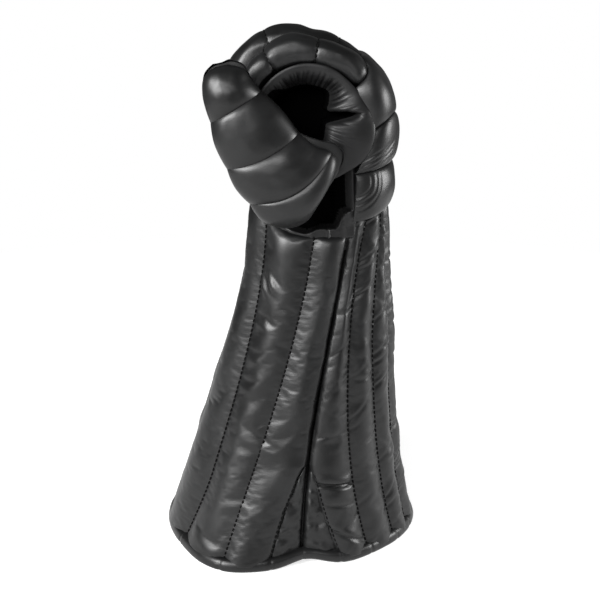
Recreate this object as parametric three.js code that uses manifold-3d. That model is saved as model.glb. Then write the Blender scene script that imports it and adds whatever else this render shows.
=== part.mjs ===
// A padded leather golf driver head cover in the form of a gloved fist on a long flared cuff.
// Units are millimetres, +Z is up. The origin is the centre of the hem, on the surface that the cover stands on.
// The cuff and the hand are built in layers from the outside in: leather, foam, lining.
import * as THREE from "three";
import { mergeVertices } from "three/addons/utils/BufferGeometryUtils.js";
import Module from "manifold-3d";

const wasm = await Module();
wasm.setup();

// ---- Driving sizes ----
const CLEARANCE = 0.3; // between any two pieces that touch
const LAYER_GAP = 0.5; // between two curved layers, which are faceted
const LEATHER = 1.2;
const CUFF_FOAM = 5;
const LINING = 1.5;

const CUFF_HEIGHT = 250; // hem to wrist
const CUFF_HEM = { halfWidth: 96.5, halfDepth: 84 };
const CUFF_WRIST = { halfWidth: 51.5, halfDepth: 46 };
const CUFF_FLARE = 1.6; // power of the flare towards the hem
const CUFF_LEAN = 21.5; // sideways shift of the wrist from the hem's centre
const PALM_PANEL_DROP = 7; // from the cuff's top down to the palm panel's top edge
const BINDING_THICKNESS = 1.4;
const BINDING_HEIGHT = 9;

// Stitched channels, as angles round the cuff in degrees: the fist's back faces 0, its palm faces 180.
const PALM_SEAMS = [110, 139, 180, 221, 250];
const BACK_SEAMS = [-60, -38, -18, 0, 18, 38, 60];
const SIDE_SEAM = { hem: 84, wrist: 66 }; // the two panels meet at plus and minus this angle
const GUSSET = { height: 80, halfAngle: 13 };
const GUSSET_REACH = 0.9; // share of its height that the gusset's leather fills

// The wrist's two rolls, with heights above the cuff.
const WRIST_ROLL_BOTTOM = CUFF_HEIGHT + 7;
const WRIST_ROLL_SPLIT = CUFF_HEIGHT + 38;
const WRIST_ROLL_TOP = CUFF_HEIGHT + 68;
const WRIST_ROLL_END = { bottom: 58, top: 45 }; // where the rolls stop on each side, in degrees from the back
const WRIST_GROWTH = 0.17; // half width gained for each millimetre of height
const WRIST_DRIFT = 0.11; // sideways drift for each millimetre of height
const WRIST_NOTCH = 2; // how far the rolls start inside the cuff's top
const ROLL_FOAM = 7;
const ROLL_BULGE = 3;
const ELASTIC = { height: 4, width: 12, thickness: 1.5 }; // height above the palm panel's top edge
const CURL_INSIDE = 34; // radius of the inside of the curled fingers
const CURL = { x: CUFF_LEAN + 22.5 - CURL_INSIDE, z: WRIST_ROLL_TOP }; // centre that the fingers curl round
const KNUCKLE = 38; // angle of the knuckle seam above the curl centre, in degrees
const HAND_BACK_RADIUS = CURL_INSIDE + 30;
const PALM_SEAM_RADIUS = CURL_INSIDE + 10;

const FINGER_CREASES = [80, 121, 172]; // angles of the seams across each finger
const FINGERTIP = 222; // angle where the fingers end
const FINGERS = [
  { name: "index", halfWidth: 12.1, thick: 21.5 },
  { name: "middle", halfWidth: 12.1, thick: 27 },
  { name: "ring", halfWidth: 11.8, thick: 25 },
  { name: "little", halfWidth: 11, thick: 19 },
];
const FINGER_ROW = FINGERS.reduce((sum, f) => sum + 2 * f.halfWidth + CLEARANCE, -CLEARANCE);
const FIST_HALF_DEPTH = FINGER_ROW / 2 + 0.55;
const SIDE_HALF_DEPTH = Math.max(FIST_HALF_DEPTH, CUFF_WRIST.halfDepth + 2); // out to the palm's leather

// The thumb's middle line from the tip down to the root, sideways and upwards from the curl's centre.
// Its inner face stands off the fist's side by the clear distance.
const THUMB_PATH = [
  { x: -48, z: 42, halfWidth: 6, halfThick: 5, clear: 8.5 },
  { x: -47, z: 37, halfWidth: 12, halfThick: 9, clear: 6.5 },
  { x: -46, z: 25, halfWidth: 17, halfThick: 12, clear: 5.5 },
  { x: -43, z: 8, halfWidth: 20, halfThick: 13, clear: 5 },
  { x: -27, z: -18, halfWidth: 25, halfThick: 13, clear: 3 },
  { x: -10, z: -37, halfWidth: 30, halfThick: 12, clear: CLEARANCE },
  { x: 0, z: -54, halfWidth: 27, halfThick: 8, clear: CLEARANCE },
];
const THUMB_SEAMS = [0, 0.28, 0.53, 0.76, 1]; // shares of the way from tip to root
const THUMB_TILT = 32; // slope of its cross seams, in degrees

// The palm's hollow, open on the thumb side. Its rim lies on the fist's side below the knuckle seam.
const HOLLOW = { radius: CURL_INSIDE - 5, floorRadius: CURL_INSIDE - 10, depth: 34 };
const PALM_RIM = { radius: PALM_SEAM_RADIUS + 2, from: -125, to: KNUCKLE - 3, blend: 15 };
const SIDE_DISH = { radius: CURL_INSIDE - 4, floorRadius: CURL_INSIDE - 7, depth: 8 }; // little-finger side
const POCKET_GAP = 0.8; // between the foam and the pocket's lining
const FINGERTIP_ROOM = 5; // from the fingertips down to the wrist's palm leather

const COLOURS = {
  leather: 0x17181a,
  foam: 0x8f8a80,
  lining: 0x26262b,
  elastic: 0x303034,
};

// ---- Small helpers ----
const radians = (degrees) => (degrees * Math.PI) / 180;
const mix = (a, b, t) => a + (b - a) * t;
const clamp01 = (t) => Math.min(1, Math.max(0, t));
const smooth = (t) => clamp01(t) ** 2 * (3 - 2 * clamp01(t));

const part = new THREE.Group();

function material(kind) {
  const roughness = { leather: 0.42, foam: 0.95, lining: 0.95, elastic: 0.9 }[kind];
  return new THREE.MeshStandardMaterial({ color: COLOURS[kind], roughness, metalness: 0 });
}

// Adds one piece to the part.
function add(name, kind, geometry) {
  const mesh = new THREE.Mesh(geometry, material(kind));
  mesh.name = name;
  part.add(mesh);
}

// Joins equal points and drops the triangles that this closes up.
function weld(points, triangles) {
  const raw = new THREE.BufferGeometry();
  raw.setAttribute("position", new THREE.BufferAttribute(new Float32Array(points.flat()), 3));
  raw.setIndex(triangles.flat());
  const welded = mergeVertices(raw, 1e-3);
  const index = welded.index.array;
  const kept = [];
  for (let i = 0; i < index.length; i += 3) {
    const [a, b, c] = [index[i], index[i + 1], index[i + 2]];
    if (a !== b && b !== c && c !== a) kept.push(a, b, c);
  }
  welded.setIndex(kept);
  return welded;
}

// Equal steps from 0 to 1.
const steps = (n) => Array.from({ length: n + 1 }, (_, i) => i / n);

// Each stretch between neighbouring stops, cut into equal steps.
function stations(stops, perStretch) {
  const cut = stops.slice(1).flatMap((stop, i) =>
    steps(perStretch).slice(1).map((t) => mix(stops[i], stop, t)),
  );
  return [stops[0], ...cut];
}

// A sheet with thickness. at(u, v, d) gives a point of it at depth d, for each u and v listed.
function sheet(at, depth, us, vs, { ring = false } = {}) {
  const points = [];
  const triangles = [];
  const [outside, inside] = depth;
  const [nu, nv] = [us.length - 1, vs.length - 1];
  for (const d of [outside, inside])
    for (const u of us) for (const v of vs) points.push(at(u, v, d));
  const layer = (nu + 1) * (nv + 1);
  const id = (i, j, k) => k * layer + i * (nv + 1) + j;
  const quad = (a, b, c, d) => triangles.push([a, b, c], [a, c, d]);
  for (let i = 0; i < nu; i++)
    for (let j = 0; j < nv; j++) {
      quad(id(i, j, 0), id(i + 1, j, 0), id(i + 1, j + 1, 0), id(i, j + 1, 0));
      quad(id(i, j, 1), id(i, j + 1, 1), id(i + 1, j + 1, 1), id(i + 1, j, 1));
    }
  for (let i = 0; i < nu; i++) {
    quad(id(i, 0, 0), id(i, 0, 1), id(i + 1, 0, 1), id(i + 1, 0, 0));
    quad(id(i, nv, 0), id(i + 1, nv, 0), id(i + 1, nv, 1), id(i, nv, 1));
  }
  if (!ring)
    for (let j = 0; j < nv; j++) {
      quad(id(0, j, 0), id(0, j + 1, 0), id(0, j + 1, 1), id(0, j, 1));
      quad(id(nu, j, 0), id(nu, j, 1), id(nu, j + 1, 1), id(nu, j + 1, 0));
    }
  return faceOut(weld(points, triangles));
}

// A solid through a row of closed outlines. at(u, v) gives its skin at each u, v going once round.
function plug(at, us, nv) {
  const points = [];
  const triangles = [];
  const nu = us.length - 1;
  for (const u of us) for (let j = 0; j < nv; j++) points.push(at(u, j / nv));
  const id = (i, j) => i * nv + (j % nv);
  for (let i = 0; i < nu; i++)
    for (let j = 0; j < nv; j++) {
      triangles.push([id(i, j), id(i + 1, j), id(i + 1, j + 1)]);
      triangles.push([id(i, j), id(i + 1, j + 1), id(i, j + 1)]);
    }
  for (const i of [0, nu]) {
    const ring = points.slice(i * nv, i * nv + nv);
    const middle = points.length;
    points.push([0, 1, 2].map((k) => ring.reduce((sum, p) => sum + p[k], 0) / nv));
    for (let j = 0; j < nv; j++)
      triangles.push(i ? [middle, id(i, j + 1), id(i, j)] : [middle, id(i, j), id(i, j + 1)]);
  }
  return faceOut(weld(points, triangles));
}

// Turns every face round if the closed surface has come out inside out.
function faceOut(geometry) {
  const p = geometry.getAttribute("position");
  const index = geometry.index.array;
  const [a, b, c] = [new THREE.Vector3(), new THREE.Vector3(), new THREE.Vector3()];
  let volume = 0;
  for (let i = 0; i < index.length; i += 3) {
    a.fromBufferAttribute(p, index[i]);
    b.fromBufferAttribute(p, index[i + 1]);
    c.fromBufferAttribute(p, index[i + 2]);
    volume += a.dot(b.cross(c));
  }
  if (volume < 0)
    for (let i = 0; i < index.length; i += 3)
      [index[i + 1], index[i + 2]] = [index[i + 2], index[i + 1]];
  return geometry;
}

function toSolid(geometry) {
  return new wasm.Manifold(
    new wasm.Mesh({
      numProp: 3,
      vertProperties: new Float32Array(geometry.getAttribute("position").array),
      triVerts: new Uint32Array(geometry.index.array),
    }),
  );
}

// A three.js primitive, moved to its place, as a solid.
function placed(geometry, x, y, z) {
  geometry.deleteAttribute("normal");
  geometry.deleteAttribute("uv");
  geometry.translate(x, y, z);
  return toSolid(mergeVertices(geometry, 1e-3));
}

function toGeometry(solid) {
  const mesh = solid.getMesh();
  const geometry = new THREE.BufferGeometry();
  geometry.setAttribute("position", new THREE.BufferAttribute(mesh.vertProperties, 3));
  geometry.setIndex(new THREE.BufferAttribute(mesh.triVerts, 1));
  return geometry;
}

// ---- Cuff ----
// Depths below the outer leather's face.
const FOAM_DEPTH = LEATHER + LAYER_GAP;
const LINING_DEPTH = FOAM_DEPTH + CUFF_FOAM + LAYER_GAP;
const WALL = LINING_DEPTH + LINING;
const WALL_BOTTOM = BINDING_THICKNESS + CLEARANCE;
const CUFF_TOP = WRIST_ROLL_BOTTOM - CLEARANCE;
const PALM_PANEL_TOP = CUFF_HEIGHT - PALM_PANEL_DROP;

const flareAt = (z) => clamp01(1 - z / CUFF_HEIGHT) ** CUFF_FLARE;
const cuffCentre = (z) => CUFF_LEAN * smooth(z / CUFF_HEIGHT);

function cuffPoint(angle, z, depth) {
  const width = mix(CUFF_WRIST.halfWidth, CUFF_HEM.halfWidth, flareAt(z)) - depth;
  const length = mix(CUFF_WRIST.halfDepth, CUFF_HEM.halfDepth, flareAt(z)) - depth;
  const a = radians(angle);
  return [cuffCentre(z) + width * Math.cos(a), length * Math.sin(a), z];
}

// The angle that a clearance takes up, half on each side of a seam.
const seamGap = (z) => (CLEARANCE * 90) / Math.PI / mix(CUFF_WRIST.halfDepth, CUFF_HEM.halfDepth, flareAt(z));
const sideSeam = (z) => mix(SIDE_SEAM.hem, SIDE_SEAM.wrist, smooth(z / CUFF_HEIGHT) ** 2);
const gussetHalf = (z) => GUSSET.halfAngle * clamp01(1 - z / GUSSET.height);

// A stretch of the cuff's wall. Each edge is a seam's angle at a height, and u counts the seams passed.
function cuffWall(edges) {
  const last = edges.length - 1;
  return (u, z, depth) => {
    const i = Math.min(last - 1, Math.floor(u));
    const angle = mix(edges[i](z), edges[i + 1](z), u - i);
    const gap = u === 0 ? seamGap(z) : u === last ? -seamGap(z) : 0;
    return cuffPoint(angle + gap, z, depth);
  };
}

function addCuff() {
  const leather = [0, LEATHER];
  const foam = [FOAM_DEPTH, FOAM_DEPTH + CUFF_FOAM];
  const palmSeams = PALM_SEAMS.map((a) => () => a);
  const backSeams = BACK_SEAMS.map((a) => () => a);
  const gussetRise = stations([WALL_BOTTOM, GUSSET.height * GUSSET_REACH], 4);
  const palmRise = [...gussetRise, ...stations([gussetRise.at(-1), PALM_PANEL_TOP], 4).slice(1)];
  const backRise = [...palmRise, CUFF_TOP];
  const panels = [
    { name: "palm", seams: palmSeams, from: sideSeam, to: (z) => 360 - sideSeam(z), rise: palmRise },
    { name: "back", seams: backSeams, from: (z) => -sideSeam(z), to: sideSeam, rise: backRise },
  ];
  for (const { name, seams, from, to, rise } of panels) {
    // The leather stops at the gusset; the foam behind it runs on to the side seam.
    const cut = [(z) => from(z) + gussetHalf(z), ...seams, (z) => to(z) - gussetHalf(z)];
    const across = stations(cut.map((_, i) => i), 3);
    add(`cuff_${name}_panel`, "leather", sheet(cuffWall(cut), leather, across, rise));
    const whole = [from, ...seams, to];
    for (let i = 0; i + 1 < whole.length; i++)
      add(`cuff_${name}_pad_${i + 1}`, "foam", sheet(cuffWall(whole.slice(i, i + 2)), foam, steps(3), rise));
  }

  for (const [side, sign] of [["near", -1], ["far", 1]]) {
    const edge = (way) => (z) => sign * sideSeam(z) + way * gussetHalf(z);
    const wall = cuffWall([edge(-1), edge(1)]);
    add(`cuff_gusset_${side}`, "leather", sheet(wall, leather, steps(4), gussetRise));
  }

  const backTurned = BACK_SEAMS.map((a) => () => a + 360);
  const round = [sideSeam, ...palmSeams, (z) => 360 - sideSeam(z), ...backTurned, (z) => 360 + sideSeam(z)];
  const turn = stations(round.map((_, i) => i), 3);
  const whole = (u, z, depth) => {
    const i = Math.min(round.length - 2, Math.floor(u));
    return cuffPoint(mix(round[i](z), round[i + 1](z), u - i), z, depth);
  };
  add("cuff_lining", "lining", sheet(whole, [LINING_DEPTH, WALL], turn, palmRise, { ring: true }));
  addBinding(whole, turn.slice(1));
}

// The binding is folded round the raw edges of leather, foam and lining, all the way round the wall.
function addBinding(wall, turn) {
  const outer = -LAYER_GAP;
  const inner = WALL + LAYER_GAP;
  const t = BINDING_THICKNESS;
  const profile = [
    [outer - t, 0], [inner + t, 0], [inner + t, BINDING_HEIGHT], [inner, BINDING_HEIGHT],
    [inner, t], [outer, t], [outer, BINDING_HEIGHT], [outer - t, BINDING_HEIGHT],
  ];
  const turns = turn.length;
  const points = [];
  const triangles = [];
  for (const u of turn) for (const [depth, z] of profile) points.push(wall(u, z, depth));
  const n = profile.length;
  const id = (i, j) => (i % turns) * n + (j % n);
  for (let i = 0; i < turns; i++)
    for (let j = 0; j < n; j++) {
      triangles.push([id(i, j), id(i + 1, j), id(i + 1, j + 1)]);
      triangles.push([id(i, j), id(i + 1, j + 1), id(i, j + 1)]);
    }
  add("hem_binding", "leather", faceOut(weld(points, triangles)));
}

// ---- Wrist ----
function wristPoint(angle, z, depth) {
  const rise = z - CUFF_HEIGHT;
  const grown = WRIST_GROWTH * rise - WRIST_NOTCH - depth;
  const a = radians(angle);
  return [
    CUFF_LEAN - WRIST_DRIFT * rise + (CUFF_WRIST.halfWidth + grown) * Math.cos(a),
    (CUFF_WRIST.halfDepth - WRIST_NOTCH - depth + (WRIST_GROWTH * rise) / 3) * Math.sin(a),
    z,
  ];
}

const bulge = (v) => ROLL_BULGE * Math.sin(Math.PI * v);
const rollEnd = (z) => {
  const rise = (z - WRIST_ROLL_SPLIT) / (WRIST_ROLL_TOP - WRIST_ROLL_SPLIT);
  return mix(WRIST_ROLL_END.bottom, WRIST_ROLL_END.top, smooth(rise));
};
const ROLL_FOAM_DEPTH = LEATHER + LAYER_GAP;
const ROLL_WALL = ROLL_FOAM_DEPTH + ROLL_FOAM;

// The fingertips rest on the wrist's palm side: their lowest point and their nearest to the curl's centre.
const FINGER_OUTSIDE = CURL_INSIDE + Math.max(...FINGERS.map((f) => f.thick));
const FINGERTIP_FLOOR = CURL.z + FINGER_OUTSIDE * Math.sin(radians(FINGERTIP)) - FINGERTIP_ROOM;
const FINGERTIP_EDGE = CURL.x + CURL_INSIDE * Math.cos(radians(FINGERTIP)) + FINGERTIP_ROOM / 2;

function addWristRoll(name, bottom, top) {
  const band = (u, v, depth) => {
    const z = mix(bottom, top, v);
    const swell = depth < ROLL_WALL ? bulge(v) : 0;
    return wristPoint(mix(-rollEnd(z), rollEnd(z), u), z, depth - swell);
  };
  add(`${name}_cover`, "leather", sheet(band, [0, LEATHER], steps(14), steps(5)));
  add(`${name}_pad`, "foam", sheet(band, [ROLL_FOAM_DEPTH, ROLL_WALL], steps(14), steps(5)));
}

function addWrist() {
  addWristRoll("wrist_roll_lower", WRIST_ROLL_BOTTOM, WRIST_ROLL_SPLIT - CLEARANCE);
  addWristRoll("wrist_roll_upper", WRIST_ROLL_SPLIT, WRIST_ROLL_TOP);
  // The palm side is one soft piece between the rolls' ends. It is lower where the fingertips lie on it.
  const side = CURL.z - CURL_INSIDE - CLEARANCE;
  const bottom = PALM_PANEL_TOP + CLEARANCE;
  const edge = SIDE_SEAM.wrist + 2;
  const palm = (u, v, depth) => {
    const angle = mix(edge, 360 - edge, u);
    const top = mix(FINGERTIP_FLOOR, side, smooth((Math.abs(angle - 180) - 60) / 25));
    return wristPoint(angle, mix(bottom, top, v), depth + WRIST_NOTCH);
  };
  add("wrist_palm_leather", "leather", sheet(palm, [0, LEATHER], steps(18), steps(4)));
  const band = (u, v, depth) =>
    wristPoint(mix(edge, 360 - edge, u), bottom + ELASTIC.height + ELASTIC.width * v, depth + WRIST_NOTCH);
  const start = LEATHER + LAYER_GAP;
  add("wrist_elastic", "elastic", sheet(band, [start, start + ELASTIC.thickness], steps(18), steps(1)));
}

// ---- Hand ----
const SEAM_ANGLE = 32 / HAND_BACK_RADIUS; // left on each side of a seam about the curl's axis, in degrees
// A point at an angle and a distance from the curl's centre.
function curlPoint(angle, radius, y) {
  const a = radians(angle);
  return [CURL.x + radius * Math.cos(a), y, CURL.z + radius * Math.sin(a)];
}

function addHandBack() {
  const from = SEAM_ANGLE;
  const to = KNUCKLE - SEAM_ANGLE;
  const radiusAt = (t) => mix(HAND_BACK_RADIUS, HAND_BACK_RADIUS - 5, t);
  const skin = (u, v, depth) => {
    const turn = Math.PI * (0.06 + 0.88 * v);
    const reach = radiusAt(u) - depth - PALM_SEAM_RADIUS + bulge(u) * Math.sin(turn);
    const radius = PALM_SEAM_RADIUS + reach * Math.sin(turn) ** 0.6;
    return curlPoint(mix(from, to, u), radius, -(FIST_HALF_DEPTH - depth) * Math.cos(turn));
  };
  add("hand_back_roll_cover", "leather", sheet(skin, [0, LEATHER], steps(4), steps(16)));
  add("hand_back_roll_pad", "foam", sheet(skin, [ROLL_FOAM_DEPTH, ROLL_WALL], steps(4), steps(16)));
}

function fingerPlaces() {
  let edge = -FINGER_ROW / 2;
  return FINGERS.map((f) => {
    const centre = edge + f.halfWidth;
    edge += 2 * f.halfWidth + CLEARANCE;
    return { ...f, centre };
  });
}

function addFinger({ name, halfWidth, thick, centre }) {
  const half = thick / 2;
  const middle = CURL_INSIDE + half;
  const tube = (angle, turn, depth) =>
    curlPoint(
      angle,
      middle + (half - depth) * Math.cos(2 * Math.PI * turn),
      centre + (halfWidth - depth) * Math.sin(2 * Math.PI * turn),
    );
  const perPad = 3;
  const around = 12;
  const cover = (u, v, depth) => tube(v, u, depth);
  const seams = [KNUCKLE + SEAM_ANGLE, ...FINGER_CREASES, FINGERTIP];
  const along = stations(seams, perPad);
  add(`${name}_finger_cover`, "leather", sheet(cover, [0, LEATHER], steps(around), along, { ring: true }));
  for (let i = 0; i + 1 < seams.length; i++) {
    const [from, to] = [seams[i] + SEAM_ANGLE, seams[i + 1] - SEAM_ANGLE];
    const core = (u, v) => tube(u, v, LEATHER + LAYER_GAP);
    add(`${name}_finger_pad_${i + 1}`, "foam", plug(core, stations([from, to], perPad), around));
  }
}

function addThumb() {
  const curve = (key) => (t) => {
    const at = clamp01(t) * (THUMB_PATH.length - 1);
    const i = Math.min(THUMB_PATH.length - 2, Math.floor(at));
    return mix(THUMB_PATH[i][key], THUMB_PATH[i + 1][key], at - i);
  };
  const [x, z, halfWidth, halfThick, clear] = ["x", "z", "halfWidth", "halfThick", "clear"].map(curve);
  const tilt = radians(THUMB_TILT);
  const tube = (t, turn, depth) => {
    const across = (halfWidth(t) - depth) * Math.cos(2 * Math.PI * turn);
    const out = (halfThick(t) - depth) * Math.sin(2 * Math.PI * turn);
    return [
      CURL.x + x(t) + across * Math.cos(tilt),
      out - SIDE_HALF_DEPTH - clear(t) - halfThick(t),
      CURL.z + z(t) + across * Math.sin(tilt),
    ];
  };
  const perPad = 3;
  const halfRound = 7;
  const seam = 0.005; // share of the thumb's length, or of a turn, left at each seam
  const along = stations(THUMB_SEAMS, perPad);
  const half = (start) => (u, v, depth) => tube(v, start + mix(seam, 0.5 - seam, u), depth);
  add("thumb_cover", "leather", sheet(half(0.5), [0, LEATHER], steps(halfRound), along));
  add("thumb_palm_leather", "leather", sheet(half(0), [0, LEATHER], steps(halfRound), along));
  for (let i = 0; i + 1 < THUMB_SEAMS.length; i++) {
    const ends = [THUMB_SEAMS[i] + seam, THUMB_SEAMS[i + 1] - seam];
    const core = (u, v) => tube(u, v, LEATHER + LAYER_GAP);
    add(`thumb_pad_${i + 1}`, "foam", plug(core, stations(ends, perPad), 2 * halfRound));
  }
}

// A round dish of leather about the curl's axis, sunk into the fist's side at y = way * SIDE_HALF_DEPTH.
// It has a flat rim whose width is a function of the angle.
function dish({ radius, floorRadius, depth }, way, rim) {
  const mouth = way * SIDE_HALF_DEPTH;
  const floor = way * (SIDE_HALF_DEPTH - depth);
  const profile = (angle, d) => [
    [0, floor - way * d],
    [floorRadius + d, floor - way * d],
    [radius + d, mouth - way * d],
    [radius + LEATHER + rim(angle), mouth - way * d],
  ];
  const at = (turn, i, d) => {
    const [r, y] = profile(360 * turn, d)[i];
    return curlPoint(360 * turn, r, y);
  };
  return sheet(at, [0, LEATHER], steps(36), [0, 1, 2, 3], { ring: true });
}

function addPalm() {
  const full = PALM_RIM.radius - HOLLOW.radius - LEATHER;
  const least = CURL_INSIDE - HOLLOW.radius - LEATHER - POCKET_GAP;
  const rim = (angle) => {
    const turned = angle > 180 ? angle - 360 : angle;
    const inside = Math.min(turned - PALM_RIM.from, PALM_RIM.to - turned);
    return mix(least, full, smooth(inside / PALM_RIM.blend));
  };
  add("palm_leather", "leather", dish(HOLLOW, -1, rim));
  add("little_finger_side_leather", "leather", dish(SIDE_DISH, 1, () => CLEARANCE));
}

// The lining of the pocket that holds the driver's head: a round drum inside the curled fingers,
// open below to the wrist and narrowed by the palm's hollow.
function pocketSolid(inset) {
  const low = PALM_PANEL_TOP + CLEARANCE;
  const high = CURL.z - LINING - LAYER_GAP;
  const inside = ROLL_WALL + POCKET_GAP + inset;
  const throat = plug(
    (u, v) => wristPoint(360 * v, mix(low - (inset ? 1 : 0), high, u), inside),
    steps(4),
    32,
  );
  const front = -SIDE_HALF_DEPTH + HOLLOW.depth + LEATHER + CLEARANCE + inset;
  const back = SIDE_HALF_DEPTH - SIDE_DISH.depth - LEATHER - CLEARANCE - inset;
  const drumRadius = CURL_INSIDE - POCKET_GAP - inset;
  const drum = new THREE.CylinderGeometry(drumRadius, drumRadius, back - front, 32);
  const hollowRadius = HOLLOW.radius + LEATHER + CLEARANCE + inset;
  const hollow = new THREE.CylinderGeometry(hollowRadius, hollowRadius, FIST_HALF_DEPTH, 32);
  // The fingertips take up the throat's palm side above their floor.
  const tips = new THREE.BoxGeometry(2 * CUFF_WRIST.halfWidth, 4 * FIST_HALF_DEPTH, 4 * CURL_INSIDE);
  const tipsEdge = FINGERTIP_EDGE + inset;
  const tipsFloor = FINGERTIP_FLOOR - inset;
  return toSolid(throat)
    .subtract(placed(tips, tipsEdge - CUFF_WRIST.halfWidth, 0, tipsFloor + 2 * CURL_INSIDE))
    .add(placed(drum, CURL.x, (front + back) / 2, CURL.z))
    .subtract(placed(hollow, CURL.x, front - FIST_HALF_DEPTH / 2, CURL.z));
}

function addPocket() {
  add("pocket_lining", "lining", toGeometry(pocketSolid(0).subtract(pocketSolid(LINING))));
}

addCuff();
addWrist();
addHandBack();
fingerPlaces().forEach(addFinger);
addThumb();
addPalm();
addPocket();

export default part;
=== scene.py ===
"""A padded leather driver head cover, a gloved fist on a long quilted cuff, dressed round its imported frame.

Lengths in the geometry are millimetres. Angles go round the cuff: 0 at the fist's back, 180 at its palm,
270 on the thumb side. A piece's mesh is written in metres, in the frame's own place.
"""

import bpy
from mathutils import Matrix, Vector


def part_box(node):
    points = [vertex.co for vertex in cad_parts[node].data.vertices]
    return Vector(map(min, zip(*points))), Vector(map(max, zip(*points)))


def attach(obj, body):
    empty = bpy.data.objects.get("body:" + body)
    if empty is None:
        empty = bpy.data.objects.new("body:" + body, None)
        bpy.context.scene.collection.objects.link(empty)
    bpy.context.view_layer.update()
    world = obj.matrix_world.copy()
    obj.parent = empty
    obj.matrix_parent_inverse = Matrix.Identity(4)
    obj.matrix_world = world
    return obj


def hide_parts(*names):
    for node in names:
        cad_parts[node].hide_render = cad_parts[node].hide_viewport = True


bl_info = {
    "name": "Padded driver head cover",
    "version": (1, 0, 0),
    "blender": (4, 5, 0),
    "location": "View3D > Sidebar > Head cover",
    "description": "Builds the leather, stitching and lining of a padded fist head cover",
    "category": "Add Mesh",
}

import math

import bmesh
import bpy
import numpy as np
from mathutils import Vector

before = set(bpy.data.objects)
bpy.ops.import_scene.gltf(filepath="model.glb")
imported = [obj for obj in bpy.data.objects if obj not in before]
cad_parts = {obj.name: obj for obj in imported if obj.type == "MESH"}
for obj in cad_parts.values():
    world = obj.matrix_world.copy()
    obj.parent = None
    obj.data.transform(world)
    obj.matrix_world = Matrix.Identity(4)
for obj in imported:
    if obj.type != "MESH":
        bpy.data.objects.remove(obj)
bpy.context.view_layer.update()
MM = 0.001


# ---- Small mathematics ----
def mix(a, b, t):
    return a + (b - a) * t


def smooth(t):
    t = np.clip(t, 0, 1)
    return t * t * (3 - 2 * t)


def bump(distance, width):
    """1 at no distance, falling off over the width."""
    return np.exp(-((distance / width) ** 2))


def boxy(wave, power):
    """A sine or cosine with flatter sides, which makes a round section a little square."""
    return np.sign(wave) * np.abs(wave) ** power


def eased(count):
    """Places from 0 to 1, closer together near both."""
    return (1 - np.cos(np.linspace(0, math.pi, count))) / 2


def noise(x, y, seed):
    """Smooth noise from -1 to 1 over a plane, about one swell to a unit."""
    size = NOISE_SIZE
    along, across = NOISE_TURN
    lattice = np.random.default_rng(seed).uniform(-1, 1, (size, size))
    x, y = along * x + across * y, along * y - across * x
    x0 = np.floor(x).astype(int)
    y0 = np.floor(y).astype(int)
    fx = smooth(x - x0)
    fy = smooth(y - y0)
    corner = lambda i, j: lattice[(x0 + i) % size, (y0 + j) % size]
    return mix(mix(corner(0, 0), corner(1, 0), fx), mix(corner(0, 1), corner(1, 1), fx), fy)


def by_angle(angle):
    """An angle round the cuff brought to its near half, 180 to 360."""
    angle = angle % 360
    return np.where(angle < 180, 360 - angle, angle)


def curve_through(stops, t):
    """A smooth curve through rows of values, each row starting with its place."""
    stops = np.array(stops, float)
    at, values = stops[:, 0], stops[:, 1:]
    slopes = np.gradient(values, at, axis=0)
    t = np.clip(np.asarray(t, float), at[0], at[-1])
    i = np.clip(np.searchsorted(at, t, side="right") - 1, 0, len(at) - 2)
    span = (at[i + 1] - at[i])[..., None]
    s = ((t - at[i])[..., None]) / span
    return (
        values[i] * (1 + 2 * s) * (1 - s) ** 2
        + slopes[i] * span * s * (1 - s) ** 2
        + values[i + 1] * s * s * (3 - 2 * s)
        + slopes[i + 1] * span * s * s * (s - 1)
    )


def between(stops, steps):
    """Places from stop to stop, closer together near each stop."""
    out = [stops[0]]
    for a, b in zip(stops, stops[1:]):
        s = np.arange(1, steps + 1) / steps
        close = (1 - np.cos(math.pi * s)) / 2
        out.extend(a + (b - a) * mix(s, close, 0.6))
    return np.array(out)


# ---- Places from the frame ----
def corners(node):
    low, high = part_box(node)
    return np.array(low) / MM, np.array(high) / MM


# The cuff: its half sizes at the hem inside the binding, its top edges, where its panels enter the binding,
# and how high its gussets reach.
BINDING_STAND = 1.9
HEM = corners("hem_binding")[1] - BINDING_STAND
CUFF_TOP = corners("cuff_palm_panel")[1][2]
ROLL_LOW = corners("wrist_roll_lower_cover")[0][2]
CUFF_HEIGHT = ROLL_LOW - 7
PANEL_FOOT = 5.0
GUSSET_TOP = 76

# The fist: the centre of its fingers' curl, how far its palm and its far side stand out, and its depth.
SIDE_DISH = corners("little_finger_side_leather")
CURL = (SIDE_DISH[0] + SIDE_DISH[1]) / 2
FACE = -corners("palm_leather")[0][1]
HOLLOW_DEPTH = 32

# The binding: its half thickness, its half height and how far in from the cuff its middle lies.
BINDING_HALF_THICK = 6.2
BINDING_HALF_TALL = 4.9
BINDING_IN = 3.6

# The linings: how far in from the leather, their thickness, and the grain of the pocket's rebuilt mesh.
LINING_IN = 8.4
LINING_THICKNESS = 1
POCKET_VOXEL = 0.9

# Where a hollow's leather ends and its near-black painted shade begins, as a share of its depth.
PAINTED_SHADE_BEGINS = 0.75

# Half a stitch's length, as a share of the distance to the next.
HALF_STITCH = 0.40

# Millimetres along the leather for each degree: round the hem, the back of the hand and a finger's curl.
HEM_ARC = 1.55
BACK_ARC = 0.95
FINGER_ARC = 0.85

# Radius of the cuff in millimetres where its puckers and its gussets are.
PUCKER_RADIUS = 72
GUSSET_RADIUS = 82

# The turn of the noise, so that its swells don't line up with the seams, and its repeat.
NOISE_TURN = (0.83, 0.56)
NOISE_SIZE = 64

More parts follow.
